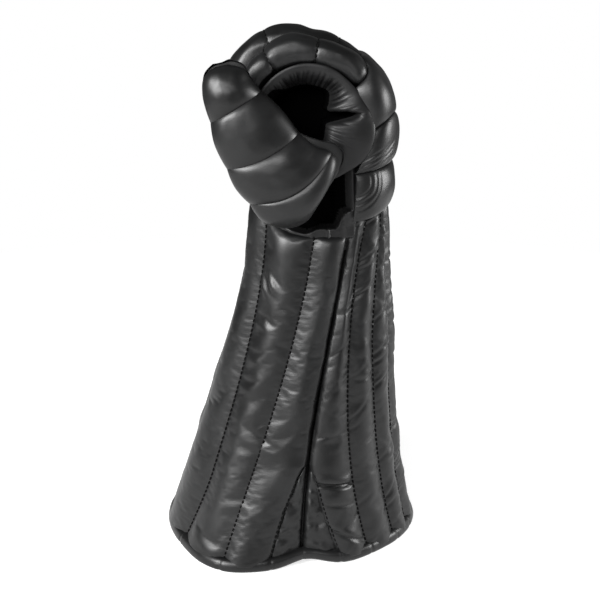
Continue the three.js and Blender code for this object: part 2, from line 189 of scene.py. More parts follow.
# The studio, in metres: the camera's shift to the side, the round floor, and each light's name, place,
# target, size and watts.
CAMERA_SIDE = 0.007
FLOOR_RADIUS = 0.95
FLOOR_SIDES = 96
FLOOR_COLOUR = (0.45, 0.45, 0.45, 1)
FLOOR_GLOW = 0.70
WHITE = (1, 1, 1, 1)
WORLD_STRENGTH = 0.15
LIGHTS = (
    ("key", (-0.92, -0.80, 0.74), (0.0, 0.0, 0.33), 0.55, 43),
    ("side", (1.1, -0.05, 0.42), (0.0, 0.0, 0.30), 0.45, 16),
    ("front", (-0.30, -1.2, 0.80), (0.0, 0.0, 0.22), 0.5, 10),
)


# ---- Settings ----
def colour_setting(name, description, *default):
    return bpy.props.FloatVectorProperty(
        name=name, description=description, subtype="COLOR", size=3, default=default, min=0, max=1)


def length_setting(name, description, default):
    """A length, given in millimetres and kept in metres."""
    return bpy.props.FloatProperty(name=name, description=description, default=default * MM, unit="LENGTH")
class CoverSettings(bpy.types.PropertyGroup):
    """Sizes and colours that a user would change."""

    leather_colour: colour_setting("Leather", "Colour of the smooth leather", 0.0034, 0.0035, 0.0036)
    leather_roughness: bpy.props.FloatProperty(
        name="Leather roughness", description="Roughness of the smooth leather", default=0.43, min=0, max=1)
    palm_colour: colour_setting("Palm leather", "Colour of the matt palm leather", 0.0036, 0.0036, 0.0038)
    lining_colour: colour_setting("Lining", "Colour of the knitted lining", 0.006, 0.006, 0.0065)
    thread_colour: colour_setting("Thread", "Colour of the stitching", 0.003, 0.003, 0.003)
    stitch_length: length_setting("Stitch length", "From one stitch to the next", 3.6)
    thread_width: length_setting("Thread width", "Thickness of the thread", 1.2)
    cuff_swell: length_setting("Cuff swell", "How far a cuff channel stands out of its seams", 3.2)
    wrist_half_width: length_setting("Wrist half width", "Half the cuff's width at the wrist", 51.5)
    wrist_half_depth: length_setting("Wrist half depth", "Half the cuff's depth at the wrist", 46)
    cuff_lean: length_setting("Cuff lean", "Sideways shift of the wrist from the hem", 21.5)
    leather_thickness: length_setting("Leather thickness", "Thickness of the leather", 1.2)
    camera_distance: length_setting("Camera distance", "From the cover's axis to the camera", 678)
    camera_height: length_setting("Camera height", "Height of the camera", 395)
    camera_pitch: bpy.props.FloatProperty(
        name="Camera pitch", description="How far the camera looks down", subtype="ANGLE",
        default=math.radians(17.6))
    camera_lens: bpy.props.FloatProperty(
        name="Camera lens", description="Focal length in millimetres", default=57)


def settings():
    return bpy.context.scene.head_cover


# ---- Node expressions ----
class Socket:
    """A node's socket that arithmetic works on. Numbers go through Math nodes."""

    def __init__(self, tree, socket):
        self.tree = tree
        self.socket = socket

    def node(self, kind, inputs=(), output=0, **values):
        node = self.tree.nodes.new(kind)
        for key, value in values.items():
            setattr(node, key, value)
        for key, value in dict(inputs).items():
            target = node.inputs[key]
            if isinstance(value, Socket):
                self.tree.links.new(value.socket, target)
            else:
                target.default_value = value
        return Socket(self.tree, node.outputs[output])

    def math(self, operation, *values):
        return self.node("ShaderNodeMath", dict(enumerate(values)), operation=operation)

    def __add__(self, other):
        return self.math("ADD", self, other)

    def __radd__(self, other):
        return self.math("ADD", other, self)

    def __sub__(self, other):
        return self.math("SUBTRACT", self, other)

    def __rsub__(self, other):
        return self.math("SUBTRACT", other, self)

    def __mul__(self, other):
        return self.math("MULTIPLY", self, other)

    def __rmul__(self, other):
        return self.math("MULTIPLY", other, self)

    def between(self, low, high):
        """0 at low, 1 at high, clamped."""
        values = {"Value": self, "From Min": low, "From Max": high}
        return self.node("ShaderNodeMapRange", values)

    def colours(self, dark, light):
        """A colour between two, by this number."""
        values = {"Factor": self, 6: (*dark, 1), 7: (*light, 1)}
        return self.node("ShaderNodeMix", values, output=2, data_type="RGBA")


class Finish:
    """A new material with its Principled shader."""

    def __init__(self, name):
        self.material = bpy.data.materials.new(name)
        self.material.use_nodes = True
        self.tree = self.material.node_tree
        self.shader = self.tree.nodes["Principled BSDF"]
        self.root = Socket(self.tree, None)
        self.object = self.root.node("ShaderNodeTexCoord", output=3)
        self.uv = self.root.node("ShaderNodeTexCoord", output=2)

    def scaled(self, place, scale):
        return self.root.node("ShaderNodeMapping", {"Vector": place, "Scale": scale})

    def noise(self, place, scale, detail=3.0, roughness=0.55):
        values = {"Vector": place, "Scale": scale, "Detail": detail, "Roughness": roughness}
        return self.root.node("ShaderNodeTexNoise", values)

    def cells(self, place, scale):
        return self.root.node("ShaderNodeTexVoronoi", {"Vector": place, "Scale": scale})

    def attribute(self, name):
        return self.root.node("ShaderNodeAttribute", output=2, attribute_name=name)

    def set(self, **values):
        for key, value in values.items():
            socket = self.shader.inputs[key.replace("_", " ")]
            if isinstance(value, Socket):
                self.tree.links.new(value.socket, socket)
            else:
                socket.default_value = value

    def bumped(self, height, distance, strength=1.0, below=None):
        values = {"Height": height, "Distance": distance, "Strength": strength}
        if below is not None:
            values["Normal"] = below
        return self.root.node("ShaderNodeBump", values)


def leather_finish(name, colour, roughness, pucker=0.5, grain=1.0, specular=0.29, coat=0.04):
    """Smooth black leather: grain, faint wear, tight wrinkles beside its seams, and painted shade that
    darkens it towards the bottom of hollows.
    """
    finish = Finish(name)
    place = finish.object
    pores = finish.cells(place, 900)
    haze = finish.noise(place, 28, 4)
    streaks = finish.noise(finish.scaled(finish.uv, (90, 420, 1)), 1, 2)
    fine = finish.noise(finish.scaled(finish.uv, (240, 1300, 1)), 1, 2)
    near_seam = finish.attribute("pucker")
    # Painted shade: the depth attribute darkens the base colour towards the bottom of the hollows and takes
    # away the coat there.
    deep = finish.attribute("depth")
    worn = haze.between(0.35, 0.75)
    lit = 1 - deep
    finish.set(
        Base_Color=(worn * lit).colours(tuple(0.25 * c for c in colour), tuple(1.6 * c for c in colour)),
        Roughness=(worn * 0.10 + (roughness - 0.05)) * lit + deep * 0.9,
        Specular_IOR_Level=specular,
        Coat_Weight=lit * coat,
        Coat_Roughness=0.25,
    )
    grained = finish.bumped(pores, 0.05 * MM, 0.22 * grain)
    rippled = finish.bumped(haze, 1.2 * MM, 0.25, grained)
    puckered = finish.bumped((streaks * 0.7 + fine * 0.3) * near_seam, 0.5 * MM, pucker, rippled)
    finish.set(Normal=puckered)
    return finish.material


def knit_finish(name, colour):
    """A fine knitted lining with a soft nap."""
    finish = Finish(name)
    ribs = finish.root.node(
        "ShaderNodeTexWave", {"Vector": finish.object, "Scale": 260.0, "Distortion": 1.5},
        output=1, bands_direction="DIAGONAL")
    nap = finish.noise(finish.object, 900, 3)
    finish.set(
        Base_Color=nap.colours(tuple(0.6 * c for c in colour), tuple(1.6 * c for c in colour)),
        Roughness=0.95,
        Sheen_Weight=0.35,
        Sheen_Roughness=0.5,
        Normal=finish.bumped(ribs * 0.6 + nap * 0.4, 0.35 * MM, 0.7),
    )
    return finish.material


def painted_shade_finish(name, colour):
    """Painted shade: near-black matt cloth at the bottom of the hollows, standing in for their shade."""
    finish = Finish(name)
    nap = finish.noise(finish.object, 700, 3)
    finish.set(
        Base_Color=nap.colours(tuple(0.2 * c for c in colour), tuple(0.5 * c for c in colour)),
        Roughness=1.0,
        Specular_IOR_Level=0.0,
        Normal=finish.bumped(nap, 0.3 * MM, 0.5),
    )
    return finish.material


def thread_finish(name, colour):
    """Twisted black thread."""
    finish = Finish(name)
    twist = finish.noise(finish.object, 2600, 2)
    finish.set(
        Base_Color=twist.colours(tuple(0.7 * c for c in colour), tuple(1.5 * c for c in colour)),
        Roughness=0.95,
        Specular_IOR_Level=0.05,
        Normal=finish.bumped(twist, 0.08 * MM, 0.6),
    )
    return finish.material


def finishes():
    """Each material by name, made once."""
    made = bpy.data.materials
    s = settings()
    if "black_leather" not in made:
        leather_finish("black_leather", s.leather_colour, s.leather_roughness)
        leather_finish("palm_leather_matt", s.palm_colour, s.leather_roughness + 0.06, 0.6, 1.0, 0.25, 0.03)
        leather_finish("binding_leather", s.leather_colour, s.leather_roughness - 0.02)
        knit_finish("knitted_lining", s.lining_colour)
        thread_finish("black_thread", s.thread_colour)
        # The near-black finish below is painted shade for the bottoms of the hollows.
        painted_shade_finish("hollow_painted_shade", s.palm_colour)
    return made


# ---- Meshes ----
def to_nearest(stops, place):
    """Distance from each place to the nearest of the stops."""
    return np.min([np.abs(place - stop) for stop in stops], axis=0)


def about_curl(angle, radius, y):
    """A point of the fist, by angle and radius round the centre of its fingers' curl."""
    a = np.radians(angle)
    return np.stack([CURL[0] + radius * np.cos(a), y + 0 * a, CURL[2] + radius * np.sin(a)], -1)


def placed(name, mesh):
    """A new object of the mesh, linked to the scene."""
    piece = bpy.data.objects.new(name, mesh)
    bpy.context.collection.objects.link(piece)
    return piece


def as_built(piece):
    """The piece with its modifiers worked out."""
    return piece.evaluated_get(bpy.context.evaluated_depsgraph_get())


def places_of(mesh):
    """The mesh's points as rows of x, y and z in metres."""
    place = np.zeros(len(mesh.vertices) * 3)
    mesh.vertices.foreach_get("co", place)
    return place.reshape(-1, 3)


def around(low, high, count):
    """A column of angles from low to just under high."""
    return np.linspace(low, high, count, endpoint=False)[:, None]


def normals_of(points, ring=False):
    """Unit normals of a grid of points, to the left of its rows."""
    def slope(axis, wrapped):
        if wrapped:
            return np.roll(points, -1, axis) - np.roll(points, 1, axis)
        return np.gradient(points, axis=axis)
    normal = np.cross(slope(0, ring), slope(1, False))
    length = np.linalg.norm(normal, axis=2, keepdims=True)
    return normal / np.maximum(length, 1e-9)


def grid_mesh(name, points, material, ring=False, ends=False, flip=False, **amounts):
    """A mesh of quads from a grid of points. Its UV map is the place along the leather.

    Each amount, such as how puckered or how deep in a hollow the leather is, becomes an attribute.
    """
    rows, columns = points.shape[:2]
    index = np.arange(rows * columns).reshape(rows, columns)
    nearer = np.roll(index, -1, 0) if ring else index[1:]
    here = index if ring else index[:-1]
    quads = np.stack([here[:, :-1], nearer[:, :-1], nearer[:, 1:], here[:, 1:]], 2).reshape(-1, 4)
    faces = [tuple(q) for q in (quads[:, ::-1] if flip else quads)]
    if ends:
        caps = [index[:, 0][::-1], index[:, -1]]
        faces.extend(tuple(cap[::-1] if flip else cap) for cap in caps)
    mesh = bpy.data.meshes.new(name)
    mesh.from_pydata((points.reshape(-1, 3) * MM).tolist(), [], faces)
    along = np.zeros((rows, columns))
    across = np.zeros((rows, columns))
    along[1:] = np.cumsum(np.linalg.norm(np.diff(points, axis=0), axis=2), axis=0)
    across[:, 1:] = np.cumsum(np.linalg.norm(np.diff(points, axis=1), axis=2), axis=1)
    uv = np.stack([along, across], 2).reshape(-1, 2) * MM
    layer = mesh.uv_layers.new(name="leather")
    corner = np.zeros(len(mesh.loops), int)
    mesh.loops.foreach_get("vertex_index", corner)
    layer.data.foreach_set("uv", uv[corner].ravel())
    for key, amount in amounts.items():
        stored = mesh.attributes.new(key, "FLOAT", "POINT")
        stored.data.foreach_set("value", np.clip(amount + np.zeros((rows, columns)), 0, 1).ravel())
    mesh.shade_smooth()
    mesh.materials.append(finishes()[material])
    return placed(name, mesh)


def merge(piece, distance=0.01):
    """Joins the points that lie together."""
    mesh = bmesh.new()
    mesh.from_mesh(piece.data)
    bmesh.ops.remove_doubles(mesh, verts=mesh.verts, dist=distance * MM)
    mesh.to_mesh(piece.data)
    mesh.free()


def paint_hollow_shade(piece, depth):
    """Gives the deepest part of a hollow the near-black painted-shade finish."""
    piece.data.materials.append(finishes()["hollow_painted_shade"])
    deep = depth.ravel() > PAINTED_SHADE_BEGINS
    for face in piece.data.polygons:
        face.material_index = int(all(deep[v] for v in face.vertices))


def thicken(piece):
    """Gives a sheet of leather its thickness, inwards."""
    wall = piece.modifiers.new("thickness", "SOLIDIFY")
    wall.thickness = settings().leather_thickness
    wall.offset = -1


def stands_for(piece, nodes):
    """The piece rides with the cover and stands for CAD nodes."""
    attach(piece, "root")
    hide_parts(*nodes)


def nodes_like(*starts):
    return sorted(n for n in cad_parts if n.startswith(starts))


def swell(piece, pinned, pressure=1.2, spare=0.004, frames=10, most=1.4):
    """Cloth: pressure lifts the leather between its pinned seams, with a little spare leather to wrinkle.

    No point moves more than the most, in millimetres.
    """
    pins = piece.vertex_groups.new(name="seams")
    pins.add(np.flatnonzero(pinned.ravel()).tolist(), 1, "REPLACE")
    cloth = piece.modifiers.new("leather", "CLOTH")
    cloth.settings.vertex_group_mass = "seams"
    cloth.settings.quality = 4
    cloth.settings.mass = 0.2
    cloth.settings.tension_stiffness = 15
    cloth.settings.compression_stiffness = 8
    cloth.settings.shear_stiffness = 5
    cloth.settings.bending_stiffness = 0.4
    cloth.settings.shrink_min = -spare
    cloth.settings.use_pressure = True
    cloth.settings.uniform_pressure_force = pressure
    cloth.settings.effector_weights.gravity = 0
    cloth.collision_settings.use_collision = False
    cloth.point_cache.frame_start = 1
    cloth.point_cache.frame_end = frames
    scene = bpy.context.scene
    for number in range(1, frames + 1):
        scene.frame_set(number)
    before = places_of(piece.data)
    move = places_of(as_built(piece).data) - before
    reach = np.linalg.norm(move, axis=1, keepdims=True)
    limit = most * MM
    move *= np.minimum(1, limit * np.tanh(reach / limit) / np.maximum(reach, 1e-9))
    piece.modifiers.remove(cloth)
    piece.vertex_groups.remove(pins)
    piece.data.vertices.foreach_set("co", (before + move).ravel())
    piece.data.update()
    scene.frame_set(1)


# ---- Stitching ----
def stitch_tree():
    """Geometry Nodes: a row of short round stitches along each edge path."""
    name = "stitches"
    if name in bpy.data.node_groups:
        return bpy.data.node_groups[name]
    tree = bpy.data.node_groups.new(name, "GeometryNodeTree")
    inputs = {"Geometry": "Geometry", "Stitch length": "Float", "Thread width": "Float", "Thread": "Material"}
    for label, kind in inputs.items():
        tree.interface.new_socket(label, in_out="INPUT", socket_type="NodeSocket" + kind)
    tree.interface.new_socket("Geometry", in_out="OUTPUT", socket_type="NodeSocketGeometry")
    given = tree.nodes.new("NodeGroupInput")
    path, pitch, width, thread = (Socket(tree, given.outputs[label]) for label in inputs)
    curve = path.node("GeometryNodeMeshToCurve", {"Mesh": path})
    spaced = path.node("GeometryNodeResampleCurve", {"Curve": curve, "Length": pitch}, mode="LENGTH")
    tangent = path.node("GeometryNodeInputTangent")
    turn = path.node("FunctionNodeAlignRotationToVector", {"Vector": tangent}, axis="Z")
    bead = path.node("GeometryNodeMeshUVSphere", {"Segments": 6, "Rings": 5, "Radius": 1})
    size = path.node("ShaderNodeCombineXYZ", {"X": width * 0.5, "Y": width * 0.5, "Z": pitch * HALF_STITCH})
    bead = path.node("GeometryNodeTransform", {"Geometry": bead, "Scale": size})
    sewn = path.node("GeometryNodeInstanceOnPoints", {"Points": spaced, "Instance": bead, "Rotation": turn})
    real = path.node("GeometryNodeRealizeInstances", {"Geometry": sewn})
    sewn = path.node("GeometryNodeSetMaterial", {"Geometry": real, "Material": thread})
    tree.links.new(sewn.socket, tree.nodes.new("NodeGroupOutput").inputs["Geometry"])
    return tree


def stitch(name, paths):
    """Sews along each path, a row of points in millimetres, and returns the plain mesh of the stitches."""
    points = []
    edges = []
    for path in paths:
        start = len(points)
        points.extend((np.asarray(path) * MM).tolist())
        edges.extend((i, i + 1) for i in range(start, len(points) - 1))
    mesh = bpy.data.meshes.new(name + "_paths")
    mesh.from_pydata(points, edges, [])
    rows = placed(name + "_paths", mesh)
    sewing = rows.modifiers.new("sewing", "NODES")
    tree = stitch_tree()
    sewing.node_group = tree
    given = {
        "Stitch length": settings().stitch_length,
        "Thread width": settings().thread_width,
        "Thread": finishes()["black_thread"],
    }
    for item in tree.interface.items_tree:
        if item.in_out == "INPUT" and item.name in given:
            sewing[item.identifier] = given[item.name]
    bpy.context.view_layer.update()
    sewn = bpy.data.meshes.new_from_object(as_built(rows))
    sewn.shade_smooth()
    bpy.data.objects.remove(rows)
    thread = placed(name, sewn)
    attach(thread, "root")
    return thread


# ---- Cuff ----
def cuff_flare(z):
    return np.clip(1 - z / CUFF_HEIGHT, 0, 1) ** 1.6


def cuff_radii(z):
    s = settings()
    wide = mix(s.wrist_half_width / MM, HEM[0], cuff_flare(z))
    deep = mix(s.wrist_half_depth / MM, HEM[1], cuff_flare(z))
    return wide, deep


def cuff_point(angle, z, out):
    """A point of the cuff, out from its plain surface. Angles are in degrees."""
    wide, deep = cuff_radii(z)
    turn = np.radians(angle)
    centre = settings().cuff_lean / MM * smooth(z / CUFF_HEIGHT)
    return np.stack([centre + (wide + out) * np.cos(turn), (deep + out) * np.sin(turn), z + 0 * angle], -1)


# Seams of the near half of the cuff, as angles by height. The far half mirrors them.
def seam_front(z):
    return 221 - 9 * np.clip(1 - z / 60, 0, 1) ** 1.5


def seam_near(z):
    return 241 + 23 * np.clip(z / 238, 0, 1.1) ** 1.1


def seam_side(z):
    return 276 + 17 * np.clip(z / 244, 0, 1.05) ** 2.6


def seam_back_1(z):
    return 297 + 14 * np.clip(1 - z / 150, 0, 1) ** 1.6 + 9 * np.clip((z - 160) / 70, 0, 1.4) ** 2


def seam_back_2(z):
    return 318 + 12 * np.clip(1 - z / 160, 0, 1) ** 1.3 + 10 * np.clip((z - 160) / 63, 0, 1.3) ** 1.5


def seam_back_3(z):
    return 341 + 3 * np.clip(1 - z / 160, 0, 1)


def gusset_left(z):
    return 14.5 * np.clip(1 - z / GUSSET_TOP, 0, 1) ** 0.7


def gusset_right(z):
    return 18 * np.clip(1 - z / GUSSET_TOP, 0, 1)


def gusset_edge_left(z):
    return seam_side(z) - gusset_left(z)


def gusset_edge_right(z):
    return seam_side(z) + gusset_right(z)


SEAMS_BACK = [seam_back_1, seam_back_2, seam_back_3]


def mirrored(seam, turns=0):
    return lambda z: 360 + 360 * turns - seam(z)


def place_on_cuff(angle, z, out):
    """A point of the cuff, its hem pulled in and up at the gussets and fuller on each side of the palm."""
    side = by_angle(angle)
    gusset = bump(side - 278, 12) * np.clip(1 - z / 75, 0, 1) ** 2
    corner = bump(side - 241, np.where(side < 241, 22, 14))
    flat = bump(side - 312, 28)
    low = np.clip(1 - z / 130, 0, 1) ** 1.5
    points = cuff_point(angle, z, out - 10 * gusset + (9.5 * corner - 5 * flat) * low)
    points[..., 2] += 3.5 * gusset
    return points


def place_on_back(angle, z, out):
    """A point of the back panel, drawn in towards the wrist."""
    return place_on_cuff(angle, z, out - 3.0 * smooth((z - 150) / 80))


def palm_top(angle):
    """Height of the palm panel's top edge, which climbs from the side seams to the middle of the palm."""
    return CUFF_TOP - 3 + 18 * smooth((262 - by_angle(angle)) / 80)


def palm_height(angle, z):
    """Height on the palm panel, stretched near its top to follow the top edge."""
    return z + (palm_top(angle) - CUFF_TOP) * np.clip((z - 170) / (CUFF_TOP - 170), 0, 1) ** 2


def channels(seams, z, steps):
    """Angles across a row of channels at each height, with the millimetres to the nearest seam."""
    lines = np.stack([seam(z) for seam in seams])
    u = between(list(range(len(seams))), steps)
    i = np.minimum(u.astype(int), len(seams) - 2)
    t = (u - i)[:, None]
    angle = mix(lines[i], lines[i + 1], t)
    wide, deep = cuff_radii(z)
    radius = np.sqrt(wide * deep)[None, :]
    width = np.radians(lines[i + 1] - lines[i]) * radius
    nearest = np.minimum(t, 1 - t) * width
    return u, angle, nearest, width, np.radians(angle) * radius


def cuff_edge(u, count, z):
    """1 at the panel's two long edges, fading over a few millimetres. These turn in to the side seam."""
    return bump(u, 0.07)[:, None] + bump(u - count, 0.07)[:, None] + 0 * z


def palm_wrinkles(along, z, nearest):
    """Soft dents, and fine cross wrinkles beside the seams."""
    dents = 1.1 * noise(along / 30, z / 38, 3) + 0.5 * noise(along / 13, z / 16, 5)
    patch = smooth(noise(along / 30, z / 25, 2) + 0.75) * (0.35 + bump(z - 105, 70))
    cross = 0.17 * noise(along / 15, z / 4.2, 12) * np.exp(-nearest / 10) * smooth(nearest / 5) * patch
    fine = 0.07 * noise(along / 9, z / 1.5, 13) * np.exp(-nearest / 12) * smooth(nearest / 3) * patch
    return dents + cross + fine


# Puckers of the palm panel: distance from its front seam towards the thumb, height, length, slope in
# degrees and depth.
PUCKERS = (
    (8, 203, 15, -42, 1.9),
    (20, 206, 15, -38, 1.7),
    (9, 178, 9, -8, 0.9),
    (20, 176, 11, -30, 0.8),
    (14, 152, 14, 6, 0.8),
    (35, 186, 10, -20, 0.6),
    (36, 158, 10, -14, 0.6),
    (13, 131, 14, 4, 0.6),
    (33, 92, 17, -26, 1.1),
    (26, 84, 9, -8, 0.7),
    (27, 48, 11, 6, 0.8),
    (22, 16, 15, -16, 1.0),
)


def puckered(across, z):
    """Short puckers, each a small step outwards going down, which catches the light from above."""
    out = 0 * z
    for start, height, length, slope, depth in PUCKERS:
        a = math.radians(slope)
        x = (across - start) * math.cos(a) + (z - height) * math.sin(a)
        y = (z - height) * math.cos(a) - (across - start) * math.sin(a) - 0.005 * x * x
        out = out + depth * (0.7 * bump(y + 3.4, 3.2) - 0.7 * bump(y - 2.2, 2.6)) * bump(x, length / 2)
    return out


def slanted(left, right, way, z):
    """Short creases that leave the seams of the back and climb towards its middle."""
    random = np.random.default_rng(35)
    out = 0 * z
    for _ in range(12):
        height = random.uniform(0, 240)
        length = random.uniform(11, 26)
        slope = math.tan(math.radians(random.uniform(14, 36)))
        depth = random.uniform(0.3, 0.95)
        shift = random.uniform(-60, 60, 2)
        for x, turn, move in ((left, way, shift[0]), (right, -way, shift[1])):
            y = (z - height - move) % 240 - 120 - turn * slope * x - 0.02 * x * x
            fade = smooth(x / 1.5) * smooth((length - x) / (0.8 * length))
            out = out + depth * (0.5 * bump(y - 3.4, 3.2) - bump(y, 1.5)) * fade
    return out


# Folds across the channel beside each gusset: height at the gusset, slope and depth.
GUSSET_FOLDS = ((62, -0.16, 3.3), (46, -0.10, 0.8), (27, -0.55, 1.8), (96, 0.10, 0.4))


def gusset_folds(inward, width, z):
    """Folds pressed across the channel beside a gusset, each under a soft lip."""
    out = 0 * z
    for height, slope, depth in GUSSET_FOLDS:
        y = z - height - slope * inward
        fade = smooth((inward - 1) / 4) * smooth((width - inward) / 5)
        out = out + depth * (0.35 * bump(y - 4.5, 4.0) - bump(y, 1.5)) * fade
    return out


def back_wrinkles(along, z, nearest):
    """Broad slanting pulls across the back's channels, and fine cross wrinkles beside the seams."""
    slant = z - 0.6 * along
    pulls = 0.9 * noise(along / 45, slant / 34, 31) + 0.4 * noise(along / 18, slant / 13, 33)
    cross = 0.2 * noise(along / 12, z / 4.2, 38) * np.exp(-nearest / 7) * smooth(nearest / 3)
    return pulls + cross


def make_panel(name, seams, rise, steps, wrinkles, height, soft):
    """A quilted panel of the cuff between its first and last seam."""
    z = rise[None, :]
    u, angle, nearest, width, along = channels(seams, rise, steps)
    fill = (1 - np.exp(-nearest / soft)) * (0.35 + 0.65 * np.sin(np.pi * np.clip(nearest / width, 0, 0.5)))
    count = len(seams) - 1
    turned = cuff_edge(u, count, rise)
    z = z + 0 * angle
    palm = name.startswith("cuff_palm")
    from_top = rise[-1] - z
    ends = 1 - np.exp(-from_top / 4) if palm else 1
    if palm:
        turned = 3.5 * turned + 3.0 * np.exp(-from_top / 1.6)
        out = puckered(np.radians(by_angle(angle) - seam_front(z)) * PUCKER_RADIUS, z)
    else:
        turned = 2.5 * turned + 4.0 * np.exp(-from_top / 4)
        share = np.minimum(nearest / width, 0.5)
        first = (u % 1 < 0.5)[:, None]
        left = np.where(first, share, 1 - share) * width
        channel = np.minimum(u.astype(int), count - 1)[:, None]
        far = 37.0 * channel + 11.0 * channel**2
        inward = np.where(channel == 0, left, width - left)
        beside_gusset = (channel == 0) | (channel == count - 1)
        out = slanted(left, width - left, np.where(angle < 360, 1, -1), z + far)
        out = np.where(beside_gusset, 0.3 * out + gusset_folds(inward, width, z), out)
    out = out - 1.4 + height * fill * ends + wrinkles(along, z, nearest) * fill - turned
    points = place_on_cuff(angle, palm_height(angle, z), out) if palm else place_on_back(angle, z, out)
    pucker = np.exp(-nearest / 8)
    return grid_mesh(name, points, "black_leather", pucker=pucker)


def seam_pins(count, steps, columns):
    """Where a panel is held: at its seams, its hem and its top edge."""
    pinned = np.zeros((count * steps + 1, columns), bool)
    pinned[::steps] = True
    pinned[:, :2] = True
    pinned[:, -3:] = True
    return pinned


class COVER_OT_cuff(bpy.types.Operator):
    """Makes the cuff's two quilted panels and the gusset on each side"""

    bl_idname = "head_cover.cuff"
    bl_label = "Cuff panels"

    def execute(self, context):
        palm_rise = np.linspace(PANEL_FOOT, CUFF_TOP, 232)
        back_rise = np.linspace(PANEL_FOOT, ROLL_LOW + 2, 240)
        half_palm = [seam_front, seam_near, gusset_edge_left]
        half_back = [gusset_edge_right, *SEAMS_BACK]
        palm = [mirrored(f) for f in half_palm[::-1]] + [lambda z: 180 + 0 * z] + half_palm
        back = half_back + [lambda z: 360 + 0 * z] + [mirrored(f, 1) for f in half_back[::-1]]
        # Name, seams, heights, steps across a channel, wrinkles, fullness, softness at the seams, and fill.
        panels = (
            ("cuff_palm", palm, palm_rise, 26, palm_wrinkles, 1.0, 4.5, 0.4),
            ("cuff_back", back, back_rise, 20, back_wrinkles, 1.2, 4.0, 0.55),
        )
        for name, seams, rise, steps, wrinkles, fuller, soft, fill in panels:
            height = settings().cuff_swell / MM + fuller
            piece = make_panel(name + "_leather", seams, rise, steps, wrinkles, height, soft)
            swell(piece, seam_pins(len(seams) - 1, steps, len(rise)))
            thicken(piece)
            stands_for(piece, [name + "_panel", *nodes_like(name + "_pad")])
        for side, way in (("near", 1), ("far", -1)):
            self.gusset(side, way)
        return {"FINISHED"}

    def gusset(self, side, way):
        """A wedge of leather folded in along its middle."""
        rise = np.linspace(PANEL_FOOT, GUSSET_TOP + 2, 90)
        z = rise[None, :]
        u = np.linspace(-1, 1, 61)[:, None]
        half = np.where(u < 0, gusset_left(z) + 1.5, gusset_right(z) + 1.5)
        angle = seam_side(z) + u * half
        reach = np.radians(half) * GUSSET_RADIUS
        middle = np.abs(u) * reach
        edge = (1 - np.abs(u)) * reach
        along = u * reach
        folds = 1.6 * noise(along / 8, z / 9, 51) + 0.9 * noise(along / 5, z / 4, 52)
        out = -1.4 - 7.0 * np.exp(-middle / 1.6) - 1.2 * np.exp(-edge / 2) + folds * (1 - np.exp(-middle / 2))
        points = place_on_cuff(angle if way > 0 else 360 - angle, z + 0 * angle, out)
        name = f"gusset_leather_{side}"
        piece = grid_mesh(name, points, "black_leather", pucker=0.5, flip=way < 0)
        thicken(piece)
        stands_for(piece, [f"cuff_gusset_{side}"])


class COVER_OT_binding(bpy.types.Operator):
    """Makes the strip folded round the hem, nipped where the seams reach it"""

    bl_idname = "head_cover.binding"
    bl_label = "Hem binding"

    def execute(self, context):
        angle = around(0, 360, 720)
        turn = np.linspace(0, 2 * math.pi, 33)[None, :-1]
        low = np.zeros(1)
        near = [seam_front, seam_near, seam_side, *SEAMS_BACK, gusset_edge_left, gusset_edge_right]
        nips = np.array([f(low)[0] for f in near] + [360 - f(low)[0] for f in near] + [0, 180])
        away = np.abs((angle - nips + 180) % 360 - 180).min(1, keepdims=True) * 1.5
        nip = bump(away, 1.1)
        arc = angle * HEM_ARC
        lump = 0.2 * noise(arc / 14, 0 * arc, 61) + 0.05 * noise(arc / 3, turn + 0 * arc, 62)
        half_thick = BINDING_HALF_THICK - 0.4 * nip + lump
        half_tall = BINDING_HALF_TALL - 0.25 * nip + 0.5 * lump
        out = -BINDING_IN + half_thick * boxy(np.cos(turn), 0.75)
        z = BINDING_HALF_TALL + half_tall * boxy(np.sin(turn), 0.75)
        points = place_on_cuff(angle + 0 * turn, z, out)
        points = np.concatenate([points, points[:, :1]], 1)
        pucker = bump(away, 5) + 0 * points[..., 0]
        piece = grid_mesh("hem_binding_leather", points, "binding_leather", ring=True, pucker=pucker)
        merge(piece)
        stands_for(piece, ["hem_binding"])
        return {"FINISHED"}


